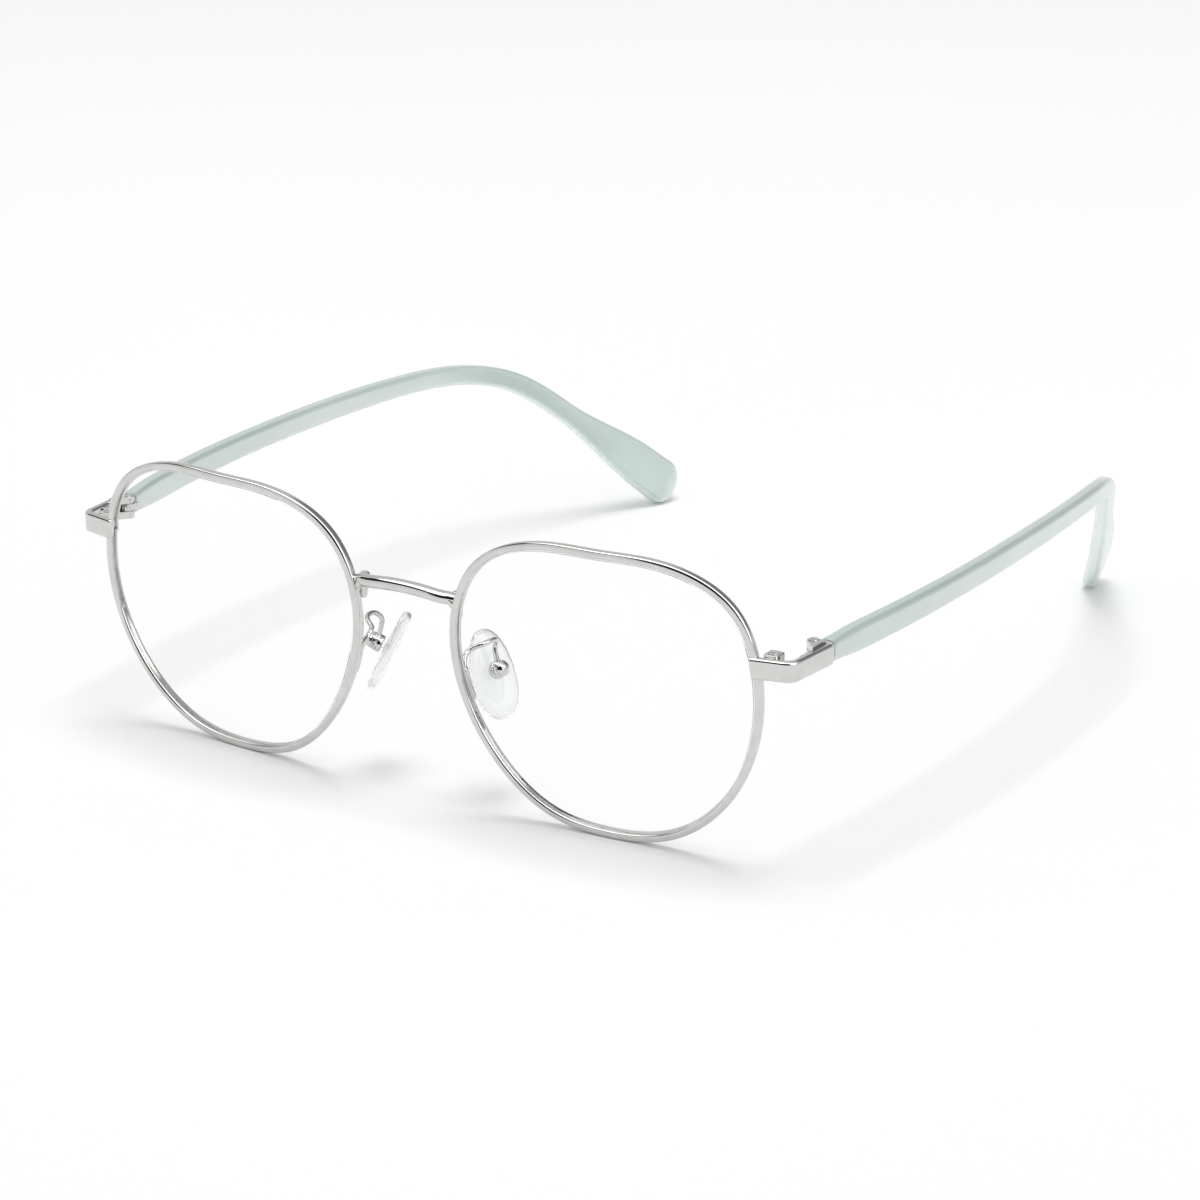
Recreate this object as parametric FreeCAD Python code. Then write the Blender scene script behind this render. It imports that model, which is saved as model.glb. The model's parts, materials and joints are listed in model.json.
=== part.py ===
import FreeCAD, Part
import math
import os
from FreeCAD import Matrix, Placement, Rotation, Vector

# Round wire eyeglasses with acetate temples, standing open on a table.
# Millimetres and degrees. X points to the wearer's left, the lenses face -Y,
# the temples run back along +Y, and the table is z = 0.
# Every part is drawn for the wearer's left side and mirrored for the right.

# ---- where the front stands
FRONT_Y = -72.2            # plane of the bridge, so that the whole length is centred on y = 0
LENS_CENTRE = Vector(34.0, FRONT_Y - 0.25, 22.67)
FRONT_TILT = 4.4           # the top of the front leans forward
FRONT_WRAP = 4.0           # the outer side of each lens sweeps back
LENS_RADIUS = 128.0        # base curve of the lenses

# ---- rim and lens, seen square-on from the lens centre: x towards the temple, z up
RIM_POINTS = [
    (24.9, 5.3), (21.1, 16.4), (10.8, 21.6), (0.3, 22.0), (-10.1, 21.6),
    (-20.5, 16.8), (-25.0, 6.1), (-23.3, -4.9), (-18.1, -14.0), (-10.2, -20.4),
    (-0.3, -22.2), (9.6, -20.8), (18.0, -14.9), (23.4, -5.7),
]
WIRE_WIDTH = 1.25          # rim wire across, seen from the front
WIRE_DEPTH = 1.6           # rim wire front to back
RIM_SPLIT = 0.3            # gap where the rim opens to take the lens
LENS_THICKNESS = 2.0
LENS_GAP = 0.08            # lens body to the inside of the rim
GROOVE_DEPTH = 0.45
GROOVE_WIDTH = 0.8

# ---- end piece: a flat strip from the rim round the corner to the hinge
STRIP_THICKNESS = 1.3
STRIP_LOW = 29.85
STRIP_HIGH = 33.05
STRIP_CORNER_RADIUS = 1.6
STRIP_START = (57.5, 2.65)     # x, distance behind the bridge plane
STRIP_CORNER = (63.8, 3.95)
STRIP_END = (64.45, 13.55)
STRIP_MIDDLE = (STRIP_LOW + STRIP_HIGH) / 2

# ---- closing blocks that clamp the split rim behind the end piece
BLOCK_X = (59.1, 61.4)
BLOCK_Y = (3.75, 6.3)
BLOCK_MARGIN = 0.1             # blocks stop this far inside the strip's edges
BLOCK_GAP = 0.25
RIM_SCREW_XY = (60.1, 5.0)
RIM_SCREW_RADIUS = 0.45
RIM_SCREW_HEAD = (0.8, 0.4)    # radius, height

# ---- temple hinge
PIN_XY = (62.4, 12.4)
PIN_RADIUS = 0.55
PIN_CLEARANCE = 0.05           # between the pin and the temple's knuckle
KNUCKLE_RADIUS = 1.15
KNUCKLE_GAP = 0.05
SCREW_HEAD = (1.0, 0.4)        # radius, height
SCREW_SLOT = (0.3, 0.25)       # width, depth
LEAF_THICKNESS = 0.5
LEAF_Y = (7.2, 11.15)

# ---- temple: x, distance behind the bridge plane, z of its centre line
TEMPLE_POINTS = [
    (63.6, 14.0, 31.6), (65.5, 31.0, 32.0), (66.4, 49.0, 32.2), (66.1, 70.0, 32.2),
    (64.6, 90.0, 31.8), (62.1, 104.0, 30.6), (58.1, 115.3, 27.0), (53.6, 124.4, 20.0),
    (48.8, 134.0, 11.4), (42.9, 144.0, 1.72),
]
TEMPLE_WIDTH = 2.7
TEMPLE_CORNER = 0.9
# share of the length, height of the section there
TEMPLE_HEIGHTS = [(0.0, 3.4), (0.05, 4.1), (0.3, 3.8), (0.6, 3.4), (0.8, 3.6), (0.95, 8.0), (1.0, 8.4)]
TIP_ROUNDING = 3.4             # length of the rounded end
TIP_STEPS = (0.35, 0.65, 0.85, 0.97)
STATIONS = 17
CAP_THICKNESS = 0.5
CAP_GAP = 0.1                  # between the end piece and the temple's cap
CORE_RADIUS = 0.75
CORE_END = 0.9                 # share of the temple's length
SHIELD = (0.9, 2.2, 13.5)      # width, height, length of the flat front of the core

# ---- nose pads
PAD_CENTRE = Vector(9.5, FRONT_Y + 8.85, 18.85)
PAD_DOWN = Vector(0.41, -0.18, -0.895)     # along the pad towards its lower end
PAD_OUT = Vector(0.807, -0.383, 0.449)     # from the nose towards the pad's box
PAD_SIZE = (14.0, 7.4, 1.7)
PAD_ROUNDING = 0.6
INSERT_SIZE = (8.6, 3.6, 0.5)
PAD_SCREW_OFFSET = 2.5         # from the pad's middle plane out to the rocking screw
PAD_SCREW_UP = 0.4             # the screw sits above the pad's middle
LUG_RADIUS = 0.6
LUG_THICKNESS = 0.8
LUG_NECK = 0.8
BOX_RADIUS = 1.4
BOX_BASE = 1.35                # from the pad's middle plane to the open face of the box
BOX_HEIGHT = 1.5               # straight wall below the dome
BOX_SLOT = (1.0, 1.9, 1.75)    # across, along the pad, deep
PAD_SCREW_RADIUS = 0.3
PAD_SCREW_CLEARANCE = 0.04
ARM_RADIUS = 0.4
# x, distance behind the bridge plane, z: solder foot on the rim, swan neck, box
ARM_POINTS = [
    (10.9, 1.95, 17.3), (9.5, 1.6, 21.9), (8.6, 2.75, 23.9), (10.4, 4.6, 25.3),
    (11.1, 8.3, 25.6), (10.35, 8.1, 23.0), (11.0, 8.6, 20.2),
]
ARM_BEND = 0.8                 # share of the shorter run that each bend takes

# ---- bridge
BRIDGE_MIDDLE = (0.0, -0.15, 33.65)
BRIDGE_KNEE = (8.3, 0.2, 33.2)
BRIDGE_END = (9.35, 0.35, 32.5)
BRIDGE_RADIUS = 1.0
FOOT_TOP = (8.25, 1.45, 34.0)
FOOT_BOTTOM = (8.65, 1.45, 29.9)
FOOT_RADIUS = 0.7


def behind(point):
    """A point given by its distance behind the bridge plane, in the part's frame."""
    return Vector(point[0], FRONT_Y + point[1], point[2])


# ---------------------------------------------------------------- rim and lens

def rim_curve(grow):
    """Closed curve of the rim wire's centre line, moved outward by grow."""
    centre_line = Part.BSplineCurve()
    corners = [Vector(x, 0, z) for x, z in RIM_POINTS]
    centre_line.interpolate(Points=corners, PeriodicFlag=True)
    moved = []
    for corner in corners:
        along = centre_line.tangent(centre_line.parameter(corner))[0]
        outward = Vector(along.z, 0, -along.x)
        if outward.dot(corner) < 0:
            outward = outward * -1
        moved.append(corner + outward * grow)
    curve = Part.BSplineCurve()
    curve.interpolate(Points=moved, PeriodicFlag=True)
    return curve


def rim_prism(grow):
    """Deep straight block with the rim's outline moved outward by grow."""
    reach = 15.0
    face = Part.Face(Part.Wire([rim_curve(grow).toShape()]))
    face.translate(Vector(0, -reach, 0))
    return face.extrude(Vector(0, 2 * reach, 0))


def curved_slab(thickness):
    """Thin spherical slab of the lens curve, thickness shared to both sides."""
    centre = Vector(0, LENS_RADIUS, 0)
    outer = Part.makeSphere(LENS_RADIUS + thickness / 2, centre)
    inner = Part.makeSphere(LENS_RADIUS - thickness / 2, centre)
    return outer.cut(inner)


def lens_place():
    """Where the left lens centre sits, with tilt and wrap."""
    tilt = Rotation(Vector(1, 0, 0), FRONT_TILT)
    wrap = Rotation(Vector(0, 0, 1), FRONT_WRAP)
    return Placement(LENS_CENTRE, tilt.multiply(wrap))


def placed(shape, placement):
    """The shape moved into the part's frame."""
    moved = shape.copy()
    moved.Placement = placement.multiply(moved.Placement)
    return moved


def make_lens():
    """Lens disc with the tongue that sits in the rim's groove."""
    inside = -WIRE_WIDTH / 2
    disc = rim_prism(inside - LENS_GAP).common(curved_slab(LENS_THICKNESS))
    tongue = rim_prism(inside + GROOVE_DEPTH).common(curved_slab(GROOVE_WIDTH))
    return disc.fuse(tongue).removeSplitter()


def make_rim():
    """Rim wire with its lens groove, split at the end piece."""
    half = WIRE_WIDTH / 2
    ring = rim_prism(half).cut(rim_prism(-half)).common(curved_slab(WIRE_DEPTH))
    groove = rim_prism(-half + GROOVE_DEPTH).common(curved_slab(GROOVE_WIDTH))
    return ring.cut(groove)


def rim_saw():
    """The cut that opens the rim behind the end piece."""
    low = STRIP_MIDDLE - RIM_SPLIT / 2
    return Part.makeBox(8, 12, RIM_SPLIT, Vector(55, FRONT_Y - 2, low))


# ---------------------------------------------------------------- end piece and closing blocks

def plan_strip(points, radius, thickness, low, high):
    """Flat strip standing on edge that follows three plan points round one corner."""
    start, corner, end = [Vector(x, FRONT_Y + y, 0) for x, y in points]
    to_start = (start - corner).normalize()
    to_end = (end - corner).normalize()
    half_turn = math.acos(to_start.dot(to_end)) / 2
    setback = radius / math.tan(half_turn)
    bisector = (to_start + to_end).normalize()
    centre = corner + bisector * (radius / math.sin(half_turn))
    middle = centre - bisector * radius
    path_one = Part.LineSegment(start, corner + to_start * setback).toShape()
    path_two = Part.Arc(corner + to_start * setback, middle, corner + to_end * setback).toShape()
    path_three = Part.LineSegment(corner + to_end * setback, end).toShape()
    path = Part.Wire([path_one, path_two, path_three])
    across = to_start.cross(Vector(0, 0, 1)) * (thickness / 2)
    section = Part.makePolygon([
        start + across + Vector(0, 0, low), start - across + Vector(0, 0, low),
        start - across + Vector(0, 0, high), start + across + Vector(0, 0, high),
        start + across + Vector(0, 0, low),
    ])
    path.translate(Vector(0, 0, low))
    return path.makePipeShell([section], True, False)


def make_end_piece(rim):
    """Bent strip, soldered over the front of the rim."""
    points = [STRIP_START, STRIP_CORNER, STRIP_END]
    strip = plan_strip(points, STRIP_CORNER_RADIUS, STRIP_THICKNESS, STRIP_LOW, STRIP_HIGH)
    return strip.cut(rim)


def make_closing_block(low, high, rim, end_piece):
    """One half of the rim lock, drilled for its screw."""
    width = BLOCK_X[1] - BLOCK_X[0]
    depth = BLOCK_Y[1] - BLOCK_Y[0]
    block = Part.makeBox(width, depth, high - low, Vector(BLOCK_X[0], FRONT_Y + BLOCK_Y[0], low))
    hole = Part.makeCylinder(RIM_SCREW_RADIUS, high - low, behind((*RIM_SCREW_XY, low)))
    return largest_solid(block.cut(rim).cut(end_piece).cut(hole))


def make_screw(xy, low, high, shank_radius, head):
    """Slotted screw with its head on top at height high."""
    shank = Part.makeCylinder(shank_radius, high - low, behind((*xy, low)))
    cap = Part.makeCylinder(head[0], head[1], behind((*xy, high)))
    slot_width, slot_depth = SCREW_SLOT
    corner = behind((xy[0] - head[0], xy[1] - slot_width / 2, high + head[1] - slot_depth))
    slot = Part.makeBox(2 * head[0], slot_width, slot_depth, corner)
    return shank.fuse(cap).cut(slot)


def largest_solid(shape):
    """The biggest solid of a cut, without loose slivers."""
    return max(shape.Solids, key=lambda solid: solid.Volume)


# ---------------------------------------------------------------- temple hinge

def knuckle_levels():
    """Heights of the three knuckles, from the bottom up."""
    low = STRIP_LOW + 0.05
    step = (STRIP_HIGH - STRIP_LOW - 0.1) / 3
    return [low + step * i for i in range(4)]


def knuckle(low, high, web_far_y):
    """Drilled barrel with a web that reaches to web_far_y."""
    barrel = Part.makeCylinder(KNUCKLE_RADIUS, high - low, behind((*PIN_XY, low)))
    near = min(PIN_XY[1], web_far_y)
    depth = abs(web_far_y - PIN_XY[1])
    web = Part.makeBox(KNUCKLE_RADIUS, depth, high - low, behind((PIN_XY[0], near, low)))
    return barrel.fuse(web)


def pin_hole(radius):
    """Drill along the hinge pin."""
    return Part.makeCylinder(radius, 10, behind((*PIN_XY, STRIP_MIDDLE - 5)))


def make_front_hinge(end_piece):
    """Leaf soldered inside the end piece, with the upper and lower knuckles."""
    levels = knuckle_levels()
    inner_x = PIN_XY[0] + KNUCKLE_RADIUS - LEAF_THICKNESS
    leaf = Part.makeBox(3.0, LEAF_Y[1] - LEAF_Y[0], levels[3] - levels[0],
                        behind((inner_x, LEAF_Y[0], levels[0])))
    lower = knuckle(levels[0], levels[1], LEAF_Y[1] - 1)
    upper = knuckle(levels[2], levels[3], LEAF_Y[1] - 1)
    outside = Part.makeBox(5.0, 20.0, 10.0, behind((STRIP_END[0], 0, STRIP_LOW - 3)))
    joined = leaf.cut(outside).fuse([lower, upper]).cut(end_piece).cut(pin_hole(PIN_RADIUS))
    return largest_solid(joined)


def make_temple_hinge(cap_y):
    """Cap plate on the front of the temple with the middle knuckle."""
    levels = knuckle_levels()
    middle = knuckle(levels[1] + KNUCKLE_GAP, levels[2] - KNUCKLE_GAP, cap_y)
    width = TEMPLE_WIDTH - 0.1
    left_edge = TEMPLE_POINTS[0][0] - width / 2
    plate = Part.makeBox(width, CAP_THICKNESS, levels[3] - levels[0],
                         behind((left_edge, cap_y, levels[0])))
    return plate.fuse(middle).cut(pin_hole(PIN_RADIUS + PIN_CLEARANCE))


# ---------------------------------------------------------------- temple

def temple_curve():
    """Centre line of the temple."""
    curve = Part.BSplineCurve()
    curve.interpolate([behind(point) for point in TEMPLE_POINTS])
    return curve


def height_at(share):
    """Section height at a share of the temple's length, eased between the given heights."""
    for (low, low_height), (high, high_height) in zip(TEMPLE_HEIGHTS, TEMPLE_HEIGHTS[1:]):
        if share <= high:
            blend = (share - low) / (high - low)
            ease = blend * blend * (3 - 2 * blend)
            return low_height + (high_height - low_height) * ease
    return TEMPLE_HEIGHTS[-1][1]


def section_at(curve, share, width, height, corner):
    """Rounded rectangle square to the curve at a share of its parameter range."""
    u = curve.FirstParameter + share * (curve.LastParameter - curve.FirstParameter)
    along = curve.tangent(u)[0]
    side = (Vector(1, 0, 0) - along * along.x).normalize()
    up = side.cross(along)
    corner = min(corner, 0.49 * width, 0.49 * height)
    a = width / 2
    b = height / 2
    c = corner * (1 - math.sqrt(0.5))
    d = corner
    outline = [
        (a - d, -b, a - c, -b + c, a, -b + d), (a, b - d, a - c, b - c, a - d, b),
        (-a + d, b, -a + c, b - c, -a, b - d), (-a, -b + d, -a + c, -b + c, -a + d, -b),
    ]
    centre = curve.value(u)
    arcs = []
    for numbers in outline:
        spots = [centre + side * numbers[i] + up * numbers[i + 1] for i in (0, 2, 4)]
        arcs.append(spots)
    edges = []
    for index, spots in enumerate(arcs):
        edges.append(Part.Arc(*spots).toShape())
        following = arcs[(index + 1) % 4]
        edges.append(Part.LineSegment(spots[2], following[0]).toShape())
    return Part.Wire(edges)


def make_core(curve, hinge):
    """Round core wire with the flat shield plate at its front end."""
    rings = []
    for step in range(STATIONS):
        share = CORE_END * step / (STATIONS - 1)
        u = curve.FirstParameter + share * (curve.LastParameter - curve.FirstParameter)
        ring = Part.Circle(curve.value(u), curve.tangent(u)[0], CORE_RADIUS).toShape()
        rings.append(Part.Wire([ring]))
    wire = Part.makeLoft(rings, True)
    width, height, length = SHIELD
    share = length / curve.length()
    plate_sections = [section_at(curve, share * part, width, height, width / 2)
                      for part in (0.0, 0.5, 0.9)]
    plate_sections.append(section_at(curve, share, width, height * 0.6, width / 2))
    plate = Part.makeLoft(plate_sections, True)
    return largest_solid(wire.fuse(plate).cut(hinge))


def make_temple(curve, core, hinge):
    """Acetate temple with a rounded paddle end, hollow for its core."""
    tip_share = 1 - TIP_ROUNDING / curve.length()
    sections = []
    for step in range(STATIONS):
        share = tip_share * step / (STATIONS - 1)
        sections.append(section_at(curve, share, TEMPLE_WIDTH, height_at(share), TEMPLE_CORNER))
    for part in TIP_STEPS:
        share = tip_share + (1 - tip_share) * part
        fall = math.sqrt(1 - part * part)
        height = height_at(share) * fall
        width = TEMPLE_WIDTH * (0.35 + 0.65 * fall)
        sections.append(section_at(curve, share, width, height, TEMPLE_CORNER))
    body = Part.makeLoft(sections, True)
    return largest_solid(body.cut(hinge).cut(core))


# ---------------------------------------------------------------- nose pads

def pad_axes():
    """Unit vectors of the pad: down its length, across it, and outward."""
    down = Vector(PAD_DOWN).normalize()
    out = Vector(PAD_OUT)
    out = (out - down * out.dot(down)).normalize()
    across = out.cross(down)
    return down, across, out


def pad_place(along=0.0, outward=0.0):
    """Placement with x down the pad, y across it and z outward."""
    down, across, out = pad_axes()
    base = PAD_CENTRE + down * along + out * outward
    matrix = Matrix(down.x, across.x, out.x, base.x, down.y, across.y, out.y, base.y,
                    down.z, across.z, out.z, base.z, 0, 0, 0, 1)
    return Placement(matrix)


def oval_plate(length, width, thickness, rounding):
    """Oval plate centred on the origin with rounded edges."""
    ellipse = Part.Ellipse(Vector(0, 0, -thickness / 2), length / 2, width / 2)
    plate = Part.Face(Part.Wire([ellipse.toShape()])).extrude(Vector(0, 0, thickness))
    if rounding:
        plate = plate.makeFillet(rounding, plate.Edges[:])
    return plate


def make_insert():
    """Plate inside the soft pad and the lug that the screw holds."""
    plate = oval_plate(*INSERT_SIZE, 0)
    lug = Part.makeCylinder(LUG_RADIUS, LUG_THICKNESS, Vector(0, -LUG_THICKNESS / 2, PAD_SCREW_OFFSET),
                            Vector(0, 1, 0))
    neck = Part.makeBox(LUG_NECK, LUG_THICKNESS, PAD_SCREW_OFFSET,
                        Vector(-LUG_NECK / 2, -LUG_THICKNESS / 2, 0))
    stem = lug.fuse(neck)
    stem.translate(Vector(-PAD_SCREW_UP, 0, 0))
    hole = pad_screw_shank(PAD_SCREW_RADIUS + PAD_SCREW_CLEARANCE)
    return plate.fuse(stem).cut(hole)


def pad_screw_shank(radius):
    """Shank of the rocking screw across the pad's box."""
    reach = BOX_RADIUS
    start = Vector(-PAD_SCREW_UP, -reach, PAD_SCREW_OFFSET)
    return Part.makeCylinder(radius, 2 * reach, start, Vector(0, 1, 0))


def make_pad_box():
    """Domed round box that holds the pad's lug."""
    wall = Part.makeCylinder(BOX_RADIUS, BOX_HEIGHT, Vector(0, 0, BOX_BASE))
    dome = Part.makeSphere(BOX_RADIUS, Vector(0, 0, BOX_BASE + BOX_HEIGHT))
    below = Part.makeBox(9, 9, 9, Vector(-4.5, -4.5, BOX_BASE + BOX_HEIGHT - 9))
    across, along, deep = BOX_SLOT
    slot = Part.makeBox(along, across, deep, Vector(-along / 2, -across / 2, BOX_BASE))
    box = wall.fuse(dome.cut(below)).cut(slot)
    box.translate(Vector(-PAD_SCREW_UP, 0, 0))
    return box.cut(pad_screw_shank(PAD_SCREW_RADIUS))


def bent_wire(points, radius, bend):
    """Round wire along straight runs joined by tangent arcs."""
    spots = [behind(point) for point in points]
    edges = []
    cursor = spots[0]
    for before, corner, after in zip(spots, spots[1:], spots[2:]):
        back = before - corner
        ahead = after - corner
        setback = bend * min(back.Length, ahead.Length) / 2
        back.normalize()
        ahead.normalize()
        half_turn = math.acos(back.dot(ahead)) / 2
        arc_radius = setback * math.tan(half_turn)
        bisector = (back + ahead).normalize()
        middle = corner + bisector * (arc_radius / math.sin(half_turn) - arc_radius)
        enter = corner + back * setback
        leave = corner + ahead * setback
        if (enter - cursor).Length > 0.01:
            edges.append(Part.LineSegment(cursor, enter).toShape())
        edges.append(Part.Arc(enter, middle, leave).toShape())
        cursor = leave
    edges.append(Part.LineSegment(cursor, spots[-1]).toShape())
    path = Part.Wire(edges)
    start_direction = (spots[1] - spots[0]).normalize()
    circle = Part.Wire([Part.Circle(spots[0], start_direction, radius).toShape()])
    wire = path.makePipeShell([circle], True, False)
    return wire


def make_pad_arm(rim, box, lens):
    """Wire from its solder foot behind the rim over the swan neck to the pad's box."""
    arm = bent_wire(ARM_POINTS, ARM_RADIUS, ARM_BEND)
    return largest_solid(arm.cut(rim).cut(box).cut(lens))


# ---------------------------------------------------------------- bridge

def make_bridge(rims):
    """Bar over the nose with a solder foot behind each end."""
    half = [BRIDGE_END, BRIDGE_KNEE, BRIDGE_MIDDLE]
    other = [(-x, y, z) for x, y, z in half[:2]]
    bar = bent_wire(half + other[::-1], BRIDGE_RADIUS, 0.6)
    feet = []
    for side in (1, -1):
        top = (side * FOOT_TOP[0], FOOT_TOP[1], FOOT_TOP[2])
        bottom = (side * FOOT_BOTTOM[0], FOOT_BOTTOM[1], FOOT_BOTTOM[2])
        axis = behind(top) - behind(bottom)
        foot = Part.makeCylinder(FOOT_RADIUS, axis.Length, behind(bottom), axis)
        feet.append(foot)
        feet.append(Part.makeSphere(FOOT_RADIUS, behind(top)))
        feet.append(Part.makeSphere(FOOT_RADIUS, behind(bottom)))
    return largest_solid(bar.fuse(feet).cut(rims))


# ---------------------------------------------------------------- assembly

def left_parts():
    """Every left-hand piece by its plain name."""
    lens = placed(make_lens(), lens_place())
    rim_ring = placed(make_rim(), lens_place())
    end_piece = make_end_piece(rim_ring.fuse(lens))
    rim = rim_ring.cut(rim_saw())
    upper = make_closing_block(STRIP_MIDDLE + BLOCK_GAP / 2, STRIP_HIGH - BLOCK_MARGIN, rim_ring, end_piece)
    lower = make_closing_block(STRIP_LOW + BLOCK_MARGIN, STRIP_MIDDLE - BLOCK_GAP / 2, rim_ring, end_piece)
    rim_screw = make_screw(RIM_SCREW_XY, STRIP_LOW + BLOCK_MARGIN, STRIP_HIGH - BLOCK_MARGIN,
                           RIM_SCREW_RADIUS, RIM_SCREW_HEAD).cut(end_piece)
    levels = knuckle_levels()
    hinge_screw = make_screw(PIN_XY, levels[0], levels[3], PIN_RADIUS, SCREW_HEAD)
    curve = temple_curve()
    temple_hinge = make_temple_hinge(STRIP_END[1] + CAP_GAP)
    core = make_core(curve, temple_hinge)
    box = placed(make_pad_box(), pad_place())
    insert = make_insert()
    pad = oval_plate(*PAD_SIZE, PAD_ROUNDING).cut(insert)
    return {
        "rim": rim,
        "lens": lens,
        "end_piece": end_piece,
        "upper_closing_block": upper,
        "lower_closing_block": lower,
        "rim_screw": rim_screw,
        "front_hinge": make_front_hinge(end_piece),
        "hinge_screw": hinge_screw,
        "temple_hinge": temple_hinge,
        "core_wire": core,
        "temple": make_temple(curve, core, temple_hinge),
        "pad_arm": make_pad_arm(rim_ring, box, lens),
        "pad_box": box,
        "pad_screw": placed(pad_screw_shank(PAD_SCREW_RADIUS), pad_place()),
        "pad_insert": placed(insert, pad_place()),
        "nose_pad": placed(pad, pad_place()),
    }


def mirrored(shape):
    """The same piece for the wearer's right side."""
    return shape.mirror(Vector(0, 0, 0), Vector(1, 0, 0))


def main():
    os.makedirs("parts", exist_ok=True)
    parts = {}
    for name, shape in left_parts().items():
        parts["left_" + name] = shape
        parts["right_" + name] = mirrored(shape)
    rims = parts["left_rim"].fuse([parts["right_rim"], parts["left_lens"], parts["right_lens"]])
    parts["bridge"] = make_bridge(rims)
    for name, shape in parts.items():
        print("%-28s solids %d valid %s volume %.2f" % (name, len(shape.Solids), shape.isValid(), shape.Volume))
        shape.exportStep("parts/%s.step" % name)


main()
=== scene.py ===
import json
import math
import bpy
import numpy as np
from mathutils import Matrix, Vector

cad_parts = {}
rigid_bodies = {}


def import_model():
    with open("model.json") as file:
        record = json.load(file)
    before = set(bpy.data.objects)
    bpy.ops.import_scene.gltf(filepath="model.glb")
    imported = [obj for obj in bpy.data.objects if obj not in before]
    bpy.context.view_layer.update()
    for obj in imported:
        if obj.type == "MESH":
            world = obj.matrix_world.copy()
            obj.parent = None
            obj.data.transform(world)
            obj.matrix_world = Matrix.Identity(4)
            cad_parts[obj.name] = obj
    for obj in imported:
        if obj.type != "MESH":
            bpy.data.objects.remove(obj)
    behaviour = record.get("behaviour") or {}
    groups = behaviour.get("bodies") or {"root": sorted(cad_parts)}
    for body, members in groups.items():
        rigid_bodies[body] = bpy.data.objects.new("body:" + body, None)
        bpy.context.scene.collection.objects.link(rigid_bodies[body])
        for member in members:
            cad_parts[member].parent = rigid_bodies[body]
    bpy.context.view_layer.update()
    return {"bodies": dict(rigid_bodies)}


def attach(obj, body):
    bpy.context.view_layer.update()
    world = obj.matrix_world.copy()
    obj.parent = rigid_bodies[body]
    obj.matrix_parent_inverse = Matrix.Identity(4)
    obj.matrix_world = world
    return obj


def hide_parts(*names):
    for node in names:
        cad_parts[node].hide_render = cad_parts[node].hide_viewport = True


# Looks of the round wire eyeglasses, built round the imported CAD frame.
# Shapes are worked out in millimetres and handed to Blender in metres.
# Every paired piece is drawn for the wearer's left (+X) and mirrored for the right.
# Most sizes repeat the CAD model's. The hinge barrel, rim lock, bridge ends, pads, temple width
# and core wire differ from it a little, as their comments say.

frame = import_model()

MM = 0.001
UP = np.array([0.0, 0.0, 1.0])
SIDES = {"left": 1, "right": -1}

# ---- rims and lenses
FRONT_Y = -72.2
LENS_CENTRE = np.array([34.0, FRONT_Y - 0.25, 22.67])
FRONT_TILT = 4.4
FRONT_WRAP = 4.0
LENS_RADIUS = 128.0
RIM_POINTS = [
    (24.9, 5.3), (21.1, 16.4), (10.8, 21.6), (0.3, 22.0), (-10.1, 21.6),
    (-20.5, 16.8), (-25.0, 6.1), (-23.3, -4.9), (-18.1, -14.0), (-10.2, -20.4),
    (-0.3, -22.2), (9.6, -20.8), (18.0, -14.9), (23.4, -5.7),
]
RIM_STATIONS = 260
WIRE_WIDTH = 1.25
WIRE_DEPTH = 1.6
RIM_ROUNDING = 0.42
RIM_CROWN = 0.05          # how far the wire's faces bulge between their rounded edges
RIM_SPLIT = 0.3
GROOVE_DEPTH = 0.45
GROOVE_HALF = 0.4         # half the groove's width at its mouth
GROOVE_FLOOR_HALF = 0.12
LENS_THICKNESS = 2.0
LENS_GAP = 0.08           # lens body to the inside of the rim
LENS_CHAMFER = 0.08
LENS_TIP_HALF = 0.06      # half the flat on the tongue in the groove
LENS_RINGS = [0.02, 0.15, 0.35, 0.55, 0.75, 0.9]     # rings over a lens face, as shares of its size
LENS_SHARP = 30.0         # edges steeper than this stay sharp, in degrees

# ---- end piece and rim lock
STRIP_LOW = 29.85
STRIP_HIGH = 33.05
STRIP_MIDDLE = (STRIP_LOW + STRIP_HIGH) / 2
STRIP_THICKNESS = 1.3
STRIP_POINTS = [(57.5, 2.65), (63.8, 3.95), (64.45, 13.55)]
STRIP_CORNER_RADIUS = 1.6
STRIP_SLANT = 0.6         # how far the end on the rim leans, over the first part of the strip
STRIP_SLANT_REACH = 3.0
STRIP_ROUNDING = 0.5
STRIP_END_ROUNDING = 0.22
BLOCK_X = (59.1, 61.4)
BLOCK_Y = (3.75, 6.3)
BLOCK_GAP = 0.25
BLOCK_CORNER = 0.45
BLOCK_BEVEL = 0.16
BLOCK_LOW = STRIP_LOW + 0.1
LOCK_RISE = 0.3           # top of the lock above the strip's edge; in the CAD it stays below
RIM_SCREW_XY = (60.1, 5.0)
RIM_SCREW_RADIUS = 0.45
RIM_SCREW_HEAD = (0.82, 0.22)      # radius, height
RIM_SCREW_TOP = STRIP_HIGH + LOCK_RISE - 0.09
SCREW_SLOT = 0.28

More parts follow.
